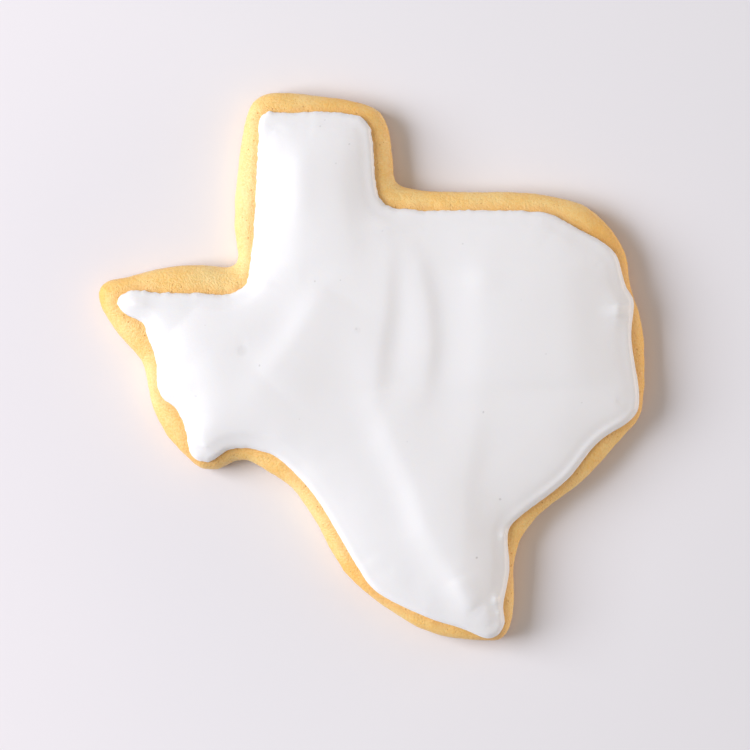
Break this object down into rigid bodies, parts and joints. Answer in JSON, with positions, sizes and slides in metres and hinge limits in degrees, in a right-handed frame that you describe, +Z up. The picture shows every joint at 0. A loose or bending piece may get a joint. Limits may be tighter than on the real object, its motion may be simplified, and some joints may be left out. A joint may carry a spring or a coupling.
{
  "type": "iced sugar cookie",
  "caption": "Thick rolled sugar cookie cut in the outline of Texas, baked pale gold with a rounded edge, under one smooth poured layer of white icing.",
  "frame": {"origin": "on the biscuit's flat underside, under the centre of its bounding box", "axes": "+X towards the east side of the outline, +Y towards the top of the panhandle, +Z up through the icing"},
  "size_m": [0.0992, 0.0996, 0.0109],
  "materials": {
    "biscuit": "dry, matt pale golden baked crumb with a fine sandy texture and tiny pinholes",
    "icing": "dried satin white icing with low waves and a few tiny grey specks"
  },
  "bodies": {
    "root": {"biscuit": "biscuit", "icing": "icing"}
  },
  "joints": []
}
